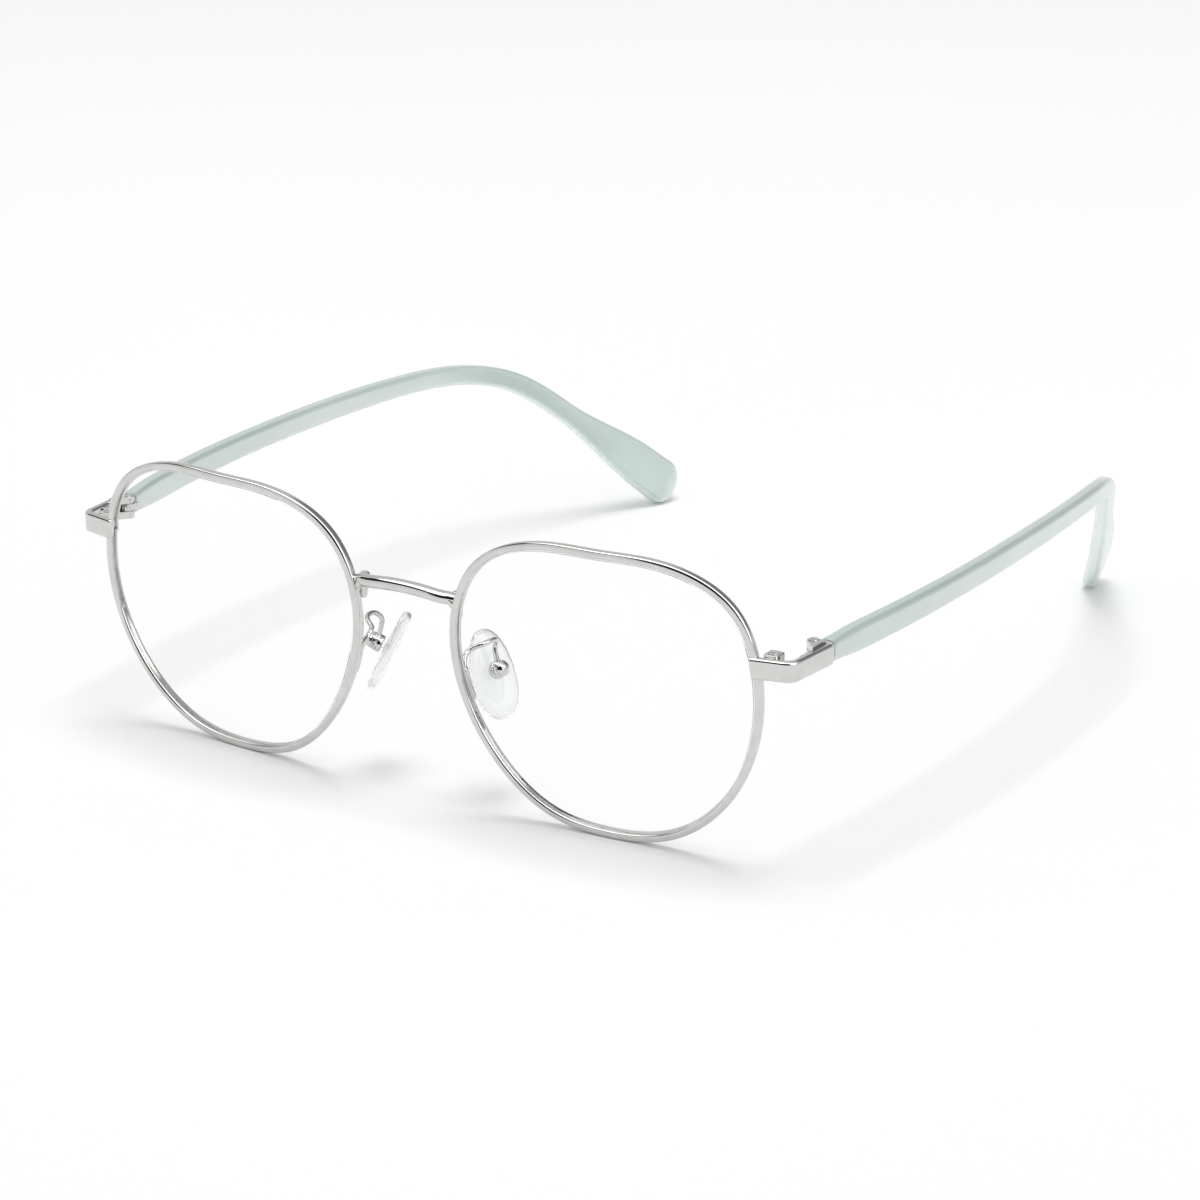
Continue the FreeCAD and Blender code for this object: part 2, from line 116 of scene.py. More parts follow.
# ---- hinge
PIN_XY = (62.4, 12.4)
PIN_RADIUS = 0.55
PIN_HEAD = (0.74, 0.24)            # radius, height
BARREL_LOW = STRIP_LOW + 0.05
BARREL_RISE = 0.5         # top of the barrel above the strip's edge; in the CAD it is lower
PIN_TOP = STRIP_HIGH + BARREL_RISE - 0.1
KNUCKLE_RADIUS = 1.0      # CAD: 1.15
KNUCKLE_GAP = 0.05
KNUCKLE_START = 62.0      # where the knuckle's round part begins, in degrees
FRONT_KNUCKLE_X = 63.85
FRONT_KNUCKLE_Y = (9.6, 13.2)
LEAF_X = (62.95, 63.9)
LEAF_Y = (7.2, 11.15)
LEAF_DROP = 0.35          # the leaf's top below the strip's
CAP_HEIGHT = 3.15
CAP_Y = 13.65
CAP_THICKNESS = 0.5
CAP_KNUCKLE_X = (61.25, 63.55)
CAP_OVERLAP = 0.1         # the knuckle reaches this far into the cap

# ---- temples
TEMPLE_POINTS = [
    (63.6, 14.0, 31.6), (65.5, 31.0, 32.0), (66.4, 49.0, 32.2), (66.1, 70.0, 32.2),
    (64.6, 90.0, 31.8), (62.1, 104.0, 30.6), (58.1, 115.3, 27.0), (53.6, 124.4, 20.0),
    (48.8, 134.0, 11.4), (42.9, 144.0, 1.72),
]
TEMPLE_WIDTH = 2.58       # CAD: 2.7
TEMPLE_CORNER = 0.9
# share of the length, height
TEMPLE_HEIGHTS = [
    (0.0, 3.4), (0.05, 4.1), (0.3, 3.8), (0.6, 3.4), (0.8, 3.6), (0.95, 8.0), (1.0, 8.4),
]
TEMPLE_START = 0.0012     # share at which the acetate begins behind its cap
TEMPLE_FRONT_BEVEL = 0.3
TIP_ROUNDING = 3.4        # length of the rounded end
CORE_RADIUS = 0.9         # CAD: 0.75
CORE_START = 0.004
CORE_END = 0.9
CORE_END_ROUNDING = 0.7
SHIELD_LENGTH = 13.5
SHIELD_HALF_HEIGHT = 1.5  # CAD: 1.1
SHIELD_THINNING = 0.4     # the flat shield is this much thinner to each side than the wire
SHIELD_BLEND = 1.2        # length over which the shield turns into the wire

# ---- nose pads
PAD_CENTRE = np.array([9.5, FRONT_Y + 8.85, 18.85])
PAD_DOWN = np.array([0.41, -0.18, -0.895])
PAD_OUT = np.array([0.807, -0.383, 0.449])
PAD_HALF_LENGTH = 7.0
PAD_HALF_WIDTH = 3.7
PAD_HALF_THICKNESS = 1.0  # CAD: 0.85
PAD_CROWN = 0.12
PAD_ROUNDING = 0.7
PAD_EGG = 0.1             # how much wider the lower end is
PAD_SCREW_UP = 0.4        # the screw sits above the pad's middle
PAD_SCREW_OUT = 2.5
LUG_WIDTH = 0.8
LUG_LEVELS = (0.0, 0.9, 1.7, 2.4, 2.9)
LUG_FOOT = 1.25           # the lug's root is wider by this factor
ARM_POINTS = [
    (10.7, 1.85, 17.8), (10.05, 1.7, 19.8), (9.45, 1.75, 21.6), (9.0, 2.2, 22.9), (8.75, 2.95, 23.7),
    (9.0, 3.8, 24.25), (9.9, 4.3, 24.8), (10.8, 5.2, 25.2), (11.1, 6.5, 25.3), (10.9, 7.8, 24.9),
    (10.4, 8.35, 24.0), (10.4, 8.2, 23.0), (10.7, 8.15, 21.9), (11.1, 8.1, 20.8),
]
ARM_RADIUS = 0.4
ARM_FOOT_POINTS = [(10.95, 1.75, 17.4), (10.25, 1.6, 19.2), (9.75, 1.5, 20.9), (9.45, 1.4, 22.4)]
ARM_FOOT_SECTION = (1.15, 0.9)
ARM_FOOT_STATIONS = 20

# ---- bridge; its ends and solder tabs are shaped more freely than the CAD's
BRIDGE_POINTS = [(9.5, 0.5, 32.6), (8.8, 0.5, 32.95), (7.2, 0.25, 33.12), (3.8, -0.15, 33.48)]
BRIDGE_MIDDLE = (0.0, -0.2, 33.65)
BRIDGE_RADII = [0.62, 0.88, 1.0, 1.02]
FILLET_POINTS = [(8.0, 0.2, 32.95), (8.65, 0.25, 32.2), (9.0, 0.3, 31.3), (9.2, 0.35, 30.3)]
FILLET_RADII = [0.8, 0.7, 0.5, 0.15]
TAB_POINTS = [(8.2, 1.45, 34.0), (8.35, 1.45, 32.8), (8.55, 1.45, 31.2), (8.65, 1.45, 29.8)]
TAB_RADII = [0.78, 0.78, 0.68, 0.6]
BRIDGE_ROUNDING = 0.4
FILLET_ROUNDING = 0.1
TAB_ROUNDING = 0.5

# ---- camera and light
CAMERA_PLACE = (331.34, FRONT_Y - 459.16, 231.02)
CAMERA_AZIMUTH = 32.90
CAMERA_ELEVATION = 19.45
CAMERA_ROLL = -0.23
CAMERA_LENS = 121.86
SOFTBOX_PLACE = (0.0, 0.05, 1.5)
SOFTBOX_SIZE = (0.66, 0.66)
SOFTBOX_POWER = 8.8
# greys of the room that the metal mirrors, by the sine of the height above the horizon
ROOM_FRONT = [
    (0.0, 0.27), (0.22, 0.3), (0.28, 0.5), (0.33, 0.01), (0.64, 0.01), (0.68, 0.85), (1.0, 0.85),
]
ROOM_BACK = [(0.0, 0.21), (0.35, 0.23), (0.7, 0.24), (1.0, 0.25)]
ROOM_FRONT_DIRECTION = (0.0, -1.0, 0.0)
ROOM_STRENGTH = 3.0
# cards: direction, grey, cosines of the soft edge
CARDS = [
    ((0.85, -0.2, 0.55), 0.85, (0.88, 0.92)),
    ((0.3, -0.9, 0.3), 0.005, (0.79, 0.83)),
    ((0.15, 0.87, 0.45), 0.08, (0.86, 0.92)),
]
BACKDROP_GREY = 0.93
FILL_GREY = 0.69
FLOOR_HALF = 6000.0
FLOOR_CELLS = 8


# ---------------------------------------------------------------- curves

def spline(points, closed=False):
    """Smooth cubic curve through the points; gives places for shares 0..1 of its chord length."""
    knots = np.array(points, float)
    if closed:
        knots = np.vstack([knots, knots[:1]])
    gaps = np.linalg.norm(np.diff(knots, axis=0), axis=1)
    marks = np.concatenate([[0], np.cumsum(gaps)])
    last = len(gaps)
    slopes = np.diff(knots, axis=0) / gaps[:, None]
    system = np.zeros((last + 1, last + 1))
    change = np.zeros((last + 1, knots.shape[1]))
    for i in range(1, last):
        system[i, i - 1:i + 2] = gaps[i - 1], 2 * (gaps[i - 1] + gaps[i]), gaps[i]
        change[i] = 6 * (slopes[i] - slopes[i - 1])
    if closed:
        system[0, 0], system[0, last] = 1, -1
        system[last, 0], system[last, 1] = 2 * gaps[0], gaps[0]
        system[last, last - 1] += gaps[last - 1]
        system[last, last] += 2 * gaps[last - 1]
        change[last] = 6 * (slopes[0] - slopes[-1])
    else:
        system[0, 0] = 1
        system[last, last] = 1
    bend = np.linalg.solve(system, change)

    def places(shares):
        marked = np.asarray(shares, float) * marks[-1]
        if closed:
            marked = np.mod(marked, marks[-1])
        k = np.clip(np.searchsorted(marks, marked, side="right") - 1, 0, last - 1)
        gap = gaps[k][:, None]
        before = (marks[k + 1] - marked)[:, None]
        after = (marked - marks[k])[:, None]
        curved = (bend[k] * before ** 3 + bend[k + 1] * after ** 3) / (6 * gap)
        straight = (knots[k] / gap - bend[k] * gap / 6) * before
        return curved + straight + (knots[k + 1] / gap - bend[k + 1] * gap / 6) * after

    return places


def unit(vectors):
    """Vectors scaled to length 1."""
    vectors = np.asarray(vectors, float)
    return vectors / np.linalg.norm(vectors, axis=-1, keepdims=True)


def tangents(points):
    """Direction of travel at each point of a path."""
    return unit(np.gradient(np.asarray(points, float), axis=0))


def behind(point):
    """A point given by its distance behind the bridge plane."""
    return np.array([point[0], FRONT_Y + point[1], point[2]])


def walk(path, distances):
    """Points at given distances along a dense path."""
    lengths = np.concatenate([[0], np.cumsum(np.linalg.norm(np.diff(path, axis=0), axis=1))])
    return np.stack([np.interp(distances, lengths, path[:, i]) for i in range(path.shape[1])], axis=1)


def path_length(path):
    """Length of a path along its points."""
    return float(np.linalg.norm(np.diff(path, axis=0), axis=1).sum())


def rounded_corner(start, corner, end, radius, steps=24):
    """Straight, arc, straight through three plan points."""
    start, corner, end = (np.array(p, float) for p in (start, corner, end))
    back = unit(start - corner)
    ahead = unit(end - corner)
    half = math.acos(float(back @ ahead)) / 2
    centre = corner + unit(back + ahead) * radius / math.sin(half)
    first = corner + back * radius / math.tan(half) - centre
    last = corner + ahead * radius / math.tan(half) - centre
    turn = math.pi - 2 * half
    arc = []
    for i in range(steps + 1):
        a = turn * i / steps
        arc.append(centre + (first * math.sin(turn - a) + last * math.sin(a)) / math.sin(turn))
    return np.array([start, *arc, end])


def end_rounding(length, radius, steps, inner):
    """Stations along a bar: distance and inset, with rounded ends and evenly spaced ones between."""
    turns = [math.pi / 2 * i / steps for i in range(steps + 1)]
    ends = [(radius * (1 - math.sin(a)), radius * (1 - math.cos(a))) for a in turns]
    # at a = 0 the station is one radius in; at a = 90 degrees it is the end face
    front = [(along, inset) for along, inset in ends[::-1]]
    middle = [(radius + (length - 2 * radius) * i / inner, 0.0) for i in range(1, inner)]
    back = [(length - along, inset) for along, inset in ends]
    return np.array(front + middle + back)


# ---------------------------------------------------------------- outlines

def rounded_rectangle(width, height, radius, steps=5):
    """Closed outline of a rectangle with rounded corners, anticlockwise."""
    radius = min(radius, 0.499 * width, 0.499 * height)
    corners = [(1, -1, -90), (1, 1, 0), (-1, 1, 90), (-1, -1, 180)]
    outline = []
    for side, level, first in corners:
        cx = side * (width / 2 - radius)
        cy = level * (height / 2 - radius)
        for i in range(steps + 1):
            a = math.radians(first + 90 * i / steps)
            outline.append((cx + radius * math.cos(a), cy + radius * math.sin(a)))
    return np.array(outline)


def circle(radius, count=24):
    """Closed round outline, anticlockwise."""
    turns = np.linspace(0, 2 * math.pi, count, endpoint=False)
    return np.stack([radius * np.cos(turns), radius * np.sin(turns)], axis=1)


def inset_outline(outline, amount):
    """A closed outline moved inward."""
    along = unit(np.roll(outline, -1, axis=0) - np.roll(outline, 1, axis=0))
    inward = np.stack([-along[:, 1], along[:, 0]], axis=1)
    return outline + inward * amount


# ---------------------------------------------------------------- meshes

class Shape:
    """Points in millimetres and faces, gathered from several skins."""

    def __init__(self):
        self.points = []
        self.faces = []

    def skin(self, rings, closed=False, caps=True):
        """Quads between rings of equal count, with flat caps on the first and last."""
        rings = np.asarray(rings, float)
        count, size = rings.shape[:2]
        base = len(self.points)
        self.points.extend(rings.reshape(-1, 3).tolist())
        for i in range(count if closed else count - 1):
            low = base + i * size
            high = base + (i + 1) % count * size
            for j in range(size):
                k = (j + 1) % size
                self.faces.append((low + j, low + k, high + k, high + j))
        if caps and not closed:
            self.faces.append(tuple(base + j for j in range(size))[::-1])
            self.faces.append(tuple(base + (count - 1) * size + j for j in range(size)))
        return self

    def prism(self, outline, low, high, bevel, steps=3):
        """Upright block on a plan outline, with rounded upper and lower edges."""
        rings = []
        for along, inset in end_rounding(high - low, bevel, steps, 1):
            flat = inset_outline(outline, inset)
            rings.append(np.column_stack([flat, np.full(len(flat), low + along)]))
        return self.skin(rings)

    def turned(self, profile, origin, axis, count=40):
        """Body turned round an axis; profile is (radius, height) from one end to the other."""
        axis = unit(axis)
        side = unit(np.cross(axis, [0.31, 0.52, 0.79]))
        other = np.cross(axis, side)
        rings = []
        for radius, height in profile:
            ring = circle(max(radius, 0.002), count)
            rings.append(origin + axis * height + ring[:, :1] * side + ring[:, 1:] * other)
        return self.skin(rings)

    def add(self, other):
        """Take in another shape's skins."""
        base = len(self.points)
        self.points.extend(other.points)
        self.faces.extend(tuple(base + i for i in face) for face in other.faces)

    def mirrored(self):
        """The same shape for the other side of the face."""
        twin = Shape()
        twin.points = [(-x, y, z) for x, y, z in self.points]
        twin.faces = [face[::-1] for face in self.faces]
        return twin


def swept(path, across, upward, sections):
    """Rings of one section per path point, laid on the across and upward directions."""
    sections = np.asarray(sections, float)
    return (path[:, None, :] + sections[:, :, :1] * across[:, None, :]
            + sections[:, :, 1:] * upward[:, None, :])


def carried_frame(path):
    """Across and upward directions that turn as little as possible along a path."""
    along = tangents(path)
    across = [unit(np.cross(along[0], UP if abs(along[0][2]) < 0.9 else [1.0, 0, 0]))]
    for direction in along[1:]:
        across.append(unit(across[-1] - direction * (across[-1] @ direction)))
    across = np.array(across)
    return across, np.cross(across, along)


def wire(path, radii, rounding=0.3, count=24):
    """Round wire along a smooth path with rounded ends."""
    path = np.asarray(path, float)
    length = path_length(path)
    stations = end_rounding(length, rounding, 5, len(path))
    spots = walk(path, stations[:, 0])
    thick = np.interp(stations[:, 0] / length, np.linspace(0, 1, len(radii)), radii)
    across, upward = carried_frame(spots)
    sections = [circle(1.0, count) * max(r - inset, 0.02) for r, inset in zip(thick, stations[:, 1])]
    return Shape().skin(swept(spots, across, upward, sections))


def piece(name, shape, material, body, nodes, sharp=50.0):
    """Blender object of a shape, riding on a body and standing for CAD nodes."""
    mesh = bpy.data.meshes.new(name)
    mesh.from_pydata([tuple(c * MM for c in p) for p in shape.points], [], shape.faces)
    mesh.validate()
    mesh.update()
    mesh.shade_smooth()
    mesh.set_sharp_from_angle(angle=math.radians(sharp))
    mesh.materials.append(material)
    made = bpy.data.objects.new(name, mesh)
    bpy.context.scene.collection.objects.link(made)
    normals = made.modifiers.new("even_faces", "WEIGHTED_NORMAL")
    normals.keep_sharp = True
    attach(made, body)
    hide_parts(*nodes)
    return made


def pair(name, shape, material, body, nodes, sharp=50.0):
    """The piece on both sides; body and nodes are named without their side where they have one."""
    for side, sign in SIDES.items():
        drawn = shape if sign > 0 else shape.mirrored()
        own_body = body if body in frame["bodies"] else side + "_" + body
        own_nodes = [side + "_" + node for node in nodes]
        piece(side + "_" + name, drawn, material, own_body, own_nodes, sharp)


# ---------------------------------------------------------------- materials

def new_material(name):
    """Node material with its shader, and a helper that adds nodes."""
    material = bpy.data.materials.new(name)
    material.use_nodes = True
    nodes = material.node_tree.nodes
    links = material.node_tree.links
    shader = nodes["Principled BSDF"]
    return material, nodes, links, shader


def noise(nodes, links, scale, detail=3.0):
    """Noise over the object's own space, in metres."""
    place = nodes.new("ShaderNodeTexCoord")
    texture = nodes.new("ShaderNodeTexNoise")
    texture.inputs["Scale"].default_value = scale
    texture.inputs["Detail"].default_value = detail
    links.new(place.outputs["Object"], texture.inputs["Vector"])
    return texture


def spread(nodes, links, source, low, high):
    """A number that runs from low to high with the source."""
    step = nodes.new("ShaderNodeMapRange")
    step.inputs["From Min"].default_value = 0.3
    step.inputs["From Max"].default_value = 0.7
    step.inputs["To Min"].default_value = low
    step.inputs["To Max"].default_value = high
    links.new(source.outputs["Fac"], step.inputs["Value"])
    return step.outputs["Result"]


def two_tones(nodes, links, source, first, second):
    """A colour that varies between two tones."""
    ramp = nodes.new("ShaderNodeValToRGB")
    ramp.color_ramp.elements[0].position = 0.35
    ramp.color_ramp.elements[0].color = (*first, 1)
    ramp.color_ramp.elements[1].position = 0.65
    ramp.color_ramp.elements[1].color = (*second, 1)
    links.new(source.outputs["Fac"], ramp.inputs["Fac"])
    return ramp.outputs["Color"]


def bumped(nodes, links, source, strength, height):
    """Surface bump of a given height in metres."""
    bump = nodes.new("ShaderNodeBump")
    bump.inputs["Strength"].default_value = strength
    bump.inputs["Distance"].default_value = height
    links.new(source.outputs["Fac"], bump.inputs["Height"])
    return bump.outputs["Normal"]


def metal(name, dark, light, smooth, rough, bump):
    """Plated metal with faint cloudiness, uneven polish and fine bump."""
    material, nodes, links, shader = new_material(name)
    shader.inputs["Metallic"].default_value = 1.0
    clouds = noise(nodes, links, 420.0)
    fine = noise(nodes, links, 2600.0, 2.0)
    links.new(two_tones(nodes, links, clouds, dark, light), shader.inputs["Base Color"])
    links.new(spread(nodes, links, clouds, smooth, rough), shader.inputs["Roughness"])
    links.new(bumped(nodes, links, fine, bump, 0.00001), shader.inputs["Normal"])
    return material


def along_temple(nodes, links, start, end):
    """A number from 0 to 1 between two distances along the object's Y, in metres."""
    place = nodes.new("ShaderNodeTexCoord")
    split = nodes.new("ShaderNodeSeparateXYZ")
    links.new(place.outputs["Object"], split.inputs["Vector"])
    share = nodes.new("ShaderNodeMapRange")
    share.inputs["From Min"].default_value = start
    share.inputs["From Max"].default_value = end
    links.new(split.outputs["Y"], share.inputs["Value"])
    return share.outputs["Result"]


def acetate(name):
    """Milky translucent acetate with soft tone changes and a polished skin; paler towards the tip as
    painted light, so the tip looks more brightly lit.
    """
    material, nodes, links, shader = new_material(name)
    clouds = noise(nodes, links, 60.0, 2.0)
    fine = noise(nodes, links, 900.0, 2.0)
    front = two_tones(nodes, links, clouds, (0.41, 0.53, 0.485), (0.46, 0.58, 0.535))
    # the paler tip tones are painted light: they make the tip look more brightly lit than the front
    tip = two_tones(nodes, links, clouds, (0.60, 0.73, 0.68), (0.66, 0.79, 0.74))
    painted_tip_light = along_temple(nodes, links, -0.03, 0.05)
    links.new(mixed(nodes, links, painted_tip_light, front, tip), shader.inputs["Base Color"])
    links.new(spread(nodes, links, fine, 0.38, 0.46), shader.inputs["Roughness"])
    links.new(bumped(nodes, links, fine, 0.05, 0.00002), shader.inputs["Coat Normal"])
    shader.inputs["IOR"].default_value = 1.48
    shader.inputs["Transmission Weight"].default_value = 0.48
    shader.inputs["Coat Weight"].default_value = 0.45
    shader.inputs["Coat Roughness"].default_value = 0.12
    return material


def clear_plastic(name, dark, light, ior, smooth, rough, clearness):
    """Clear soft or hard plastic, refracting, with a faint haze."""
    material, nodes, links, shader = new_material(name)
    clouds = noise(nodes, links, 300.0, 2.0)
    links.new(two_tones(nodes, links, clouds, dark, light), shader.inputs["Base Color"])
    links.new(spread(nodes, links, clouds, smooth, rough), shader.inputs["Roughness"])
    shader.inputs["IOR"].default_value = ior
    shader.inputs["Transmission Weight"].default_value = clearness
    return material


def lens_resin(name):
    """Clear coated lens: see-through, with a faint reflection that grows towards grazing."""
    material, nodes, links, shader = new_material(name)
    clouds = noise(nodes, links, 45.0, 2.0)
    tone = two_tones(nodes, links, clouds, (0.93, 0.95, 0.96), (0.96, 0.97, 0.97))
    links.new(tone, shader.inputs["Base Color"])
    links.new(spread(nodes, links, clouds, 0.02, 0.04), shader.inputs["Roughness"])
    clear = nodes.new("ShaderNodeBsdfTransparent")
    clear.inputs["Color"].default_value = (0.998, 0.999, 0.998, 1)
    grazing = nodes.new("ShaderNodeFresnel")
    grazing.inputs["IOR"].default_value = 1.07
    mix = nodes.new("ShaderNodeMixShader")
    links.new(grazing.outputs["Fac"], mix.inputs["Fac"])
    links.new(clear.outputs["BSDF"], mix.inputs[1])
    links.new(shader.outputs["BSDF"], mix.inputs[2])
    links.new(mix.outputs["Shader"], nodes["Material Output"].inputs["Surface"])
    return material


def floor_paint(name):
    """Pale matt studio floor."""
    material, nodes, links, shader = new_material(name)
    clouds = noise(nodes, links, 3.0, 2.0)
    tone = two_tones(nodes, links, clouds, (0.945, 0.945, 0.943), (0.955, 0.955, 0.953))
    links.new(tone, shader.inputs["Base Color"])
    shader.inputs["Roughness"].default_value = 0.9
    shader.inputs["Specular IOR Level"].default_value = 0.1
    return material


# ---------------------------------------------------------------- rims and lenses

def lens_axes():
    """Rotation of the left lens: tilt about X, then wrap about Z."""
    tilt = Matrix.Rotation(math.radians(FRONT_TILT), 3, "X")
    wrap = Matrix.Rotation(math.radians(FRONT_WRAP), 3, "Z")
    return np.array(tilt @ wrap)


def on_lens(flat, depth):
    """Points of the lens outline plane put on the lens sphere, depth behind its middle surface."""
    flat = np.asarray(flat, float)
    sag = LENS_RADIUS - np.sqrt(LENS_RADIUS ** 2 - (flat ** 2).sum(-1))
    local = np.stack([flat[..., 0], sag, flat[..., 1]], axis=-1)
    outward = unit(np.array([0, LENS_RADIUS, 0]) - local)
    local = local + outward * np.asarray(depth)[..., None]
    return LENS_CENTRE + local @ lens_axes().T


def rim_outline(shares):
    """Rim centre line in the lens plane, with its outward direction."""
    curve = spline(RIM_POINTS, closed=True)
    step = 1e-4
    flat = curve(shares)
    along = unit(curve(np.asarray(shares) + step) - curve(np.asarray(shares) - step))
    outward = np.stack([along[:, 1], -along[:, 0]], axis=1)
    turned_in = (outward * flat).sum(1) < 0
    outward[turned_in] *= -1
    return flat, outward


def rim_profile():
    """Wire section, (outward, depth): rounded outside, groove for the lens inside."""
    half_width = WIRE_WIDTH / 2
    half_depth = WIRE_DEPTH / 2
    body = rounded_rectangle(WIRE_WIDTH, WIRE_DEPTH, RIM_ROUNDING, 6)
    outline = [tuple(p) for p in body]
    groove = [(-half_width, GROOVE_HALF), (-half_width + GROOVE_DEPTH, GROOVE_FLOOR_HALF),
              (-half_width + GROOVE_DEPTH, -GROOVE_FLOOR_HALF), (-half_width, -GROOVE_HALF)]
    first = [p for p in outline if p[0] > 0 and p[1] < 0]
    second = [p for p in outline if p[0] > 0 and p[1] >= 0]
    third = [p for p in outline if p[0] <= 0 and p[1] > 0]
    fourth = [p for p in outline if p[0] <= 0 and p[1] <= 0]
    middle = [(half_width + RIM_CROWN, 0.0)]
    front = [(0.0, -half_depth - RIM_CROWN / 2)]
    rear = [(0.0, half_depth + RIM_CROWN / 2)]
    return np.array(front + first + middle + second + rear + third + groove + fourth)


def split_share():
    """Share of the rim outline where it passes the middle of the end piece."""
    shares = np.linspace(0, 0.12, 400)
    shares = np.concatenate([shares - 0.12, shares])
    flat, _ = rim_outline(shares)
    heights = on_lens(flat, np.zeros(len(flat)))[:, 2]
    return float(shares[np.argmin(abs(heights - STRIP_MIDDLE))])


def make_rim():
    """Eye wire with its lens groove, open by a saw cut behind the end piece."""
    perimeter = path_length(rim_outline(np.linspace(0, 1, 400))[0])
    opening = RIM_SPLIT / 2 / perimeter
    start = split_share()
    shares = np.linspace(start + opening, start + 1 - opening, RIM_STATIONS)
    flat, outward = rim_outline(shares)
    rings = []
    for out, depth in rim_profile():
        rings.append(on_lens(flat + outward * out, np.full(len(flat), depth)))
    return Shape().skin(np.array(rings).transpose(1, 0, 2))


def make_lens():
    """Meniscus lens with a polished bevel that sits in the groove."""
    flat, outward = rim_outline(np.linspace(0, 1, RIM_STATIONS, endpoint=False))
    inside = -WIRE_WIDTH / 2 - LENS_GAP
    half = LENS_THICKNESS / 2
    bevel = [(inside, -GROOVE_HALF), (inside + GROOVE_DEPTH, -LENS_TIP_HALF),
             (inside + GROOVE_DEPTH, LENS_TIP_HALF), (inside, GROOVE_HALF)]
    edge = [(inside - LENS_CHAMFER, -half), (inside, -half + LENS_CHAMFER), *bevel,
            (inside, half - LENS_CHAMFER), (inside - LENS_CHAMFER, half)]
    rings = []
    for shrink in LENS_RINGS:
        rings.append(on_lens((flat + outward * inside) * shrink, np.full(len(flat), -half)))
    for out, depth in edge:
        rings.append(on_lens(flat + outward * out, np.full(len(flat), depth)))
    for shrink in LENS_RINGS[::-1]:
        rings.append(on_lens((flat + outward * inside) * shrink, np.full(len(flat), half)))
    return Shape().skin(rings)


# ---------------------------------------------------------------- end pieces, locks and hinges

def make_end_piece():
    """Bent strip with softly bevelled edges and a slanted end on the rim."""
    plan = rounded_corner(*STRIP_POINTS, STRIP_CORNER_RADIUS)
    length = path_length(plan)
    stations = end_rounding(length, STRIP_END_ROUNDING, 4, 60)
    spots = walk(plan, stations[:, 0])
    along = tangents(spots)
    path = np.column_stack([spots[:, 0], FRONT_Y + spots[:, 1], np.full(len(spots), STRIP_MIDDLE)])
    across = np.column_stack([along[:, 1], -along[:, 0], np.zeros(len(along))])
    upward = np.tile(UP, (len(path), 1))
    height = STRIP_HIGH - STRIP_LOW
    sections = []
    for inset in stations[:, 1]:
        thickness = STRIP_THICKNESS - 2 * inset
        sections.append(rounded_rectangle(thickness, height - 2 * inset, STRIP_ROUNDING, 7))
    rings = swept(path, across, upward, sections)
    share = np.clip(1 - stations[:, 0] / STRIP_SLANT_REACH, 0, 1)[:, None]
    drop = (STRIP_HIGH - rings[:, :, 2]) / height
    rings[:, :, 0] += STRIP_SLANT * share * drop
    return Shape().skin(rings)


def make_rim_lock():
    """Two closing blocks, one soldered to each end of the split rim."""
    width = BLOCK_X[1] - BLOCK_X[0]
    depth = BLOCK_Y[1] - BLOCK_Y[0]
    centre = np.array([sum(BLOCK_X) / 2, FRONT_Y + sum(BLOCK_Y) / 2])
    outline = rounded_rectangle(width, depth, BLOCK_CORNER) + centre
    gap = BLOCK_GAP / 2
    lock = Shape().prism(outline, STRIP_MIDDLE + gap, STRIP_HIGH + LOCK_RISE, BLOCK_BEVEL)
    return lock.prism(outline, BLOCK_LOW, STRIP_MIDDLE - gap, BLOCK_BEVEL)


def half_disc(centre, radius, slot, side):
    """Plan outline of a round head's half beside the slot."""
    limit = math.asin(slot / 2 / radius)
    turns = np.linspace(limit, math.pi - limit, 18)
    arc = np.stack([radius * np.cos(turns), radius * np.sin(turns)], axis=1)
    if side < 0:
        arc = -arc
    return arc + centre


def make_slotted_screw(xy, low, high, shank, head):
    """Screw whose head is a low disc with two half discs on it, the slot between them."""
    centre = np.array([xy[0], FRONT_Y + xy[1]])
    radius, depth = head
    screw = Shape()
    screw.prism(circle(shank, 28) + centre, low, high + 0.02, 0.08)
    screw.prism(circle(radius, 36) + centre, high, high + 0.45 * depth, 0.05)
    for side in (1, -1):
        half = half_disc(centre, radius, SCREW_SLOT, side)
        screw.prism(half, high + 0.3 * depth, high + depth, 0.07)
    return screw


def knuckle_outline(start, ends):
    """Plan outline of a knuckle: half round the pin from the start angle, then straight to its ends."""
    turns = np.radians(np.linspace(start, start + 180, 19))
    arc = KNUCKLE_RADIUS * np.stack([np.cos(turns), np.sin(turns)], axis=1) + np.array(PIN_XY)
    return np.vstack([arc, ends]) + np.array([0, FRONT_Y])


def knuckle_levels():
    """Heights between the three knuckles of a hinge."""
    step = (STRIP_HIGH + BARREL_RISE - BARREL_LOW) / 3
    return [BARREL_LOW + step * i for i in range(4)]


def make_front_hinge():
    """Leaf inside the end piece with the upper and lower knuckles."""
    levels = knuckle_levels()
    hinge = Shape()
    outline = knuckle_outline(KNUCKLE_START, [(FRONT_KNUCKLE_X, y) for y in FRONT_KNUCKLE_Y])
    for low, high in ((levels[0], levels[1]), (levels[2], levels[3])):
        hinge.prism(outline, low, high - 0.02, 0.1)
    centre = np.array([sum(LEAF_X) / 2, FRONT_Y + sum(LEAF_Y) / 2])
    leaf = rounded_rectangle(LEAF_X[1] - LEAF_X[0], LEAF_Y[1] - LEAF_Y[0], 0.25) + centre
    return hinge.prism(leaf, levels[0], STRIP_HIGH - LEAF_DROP, 0.12)


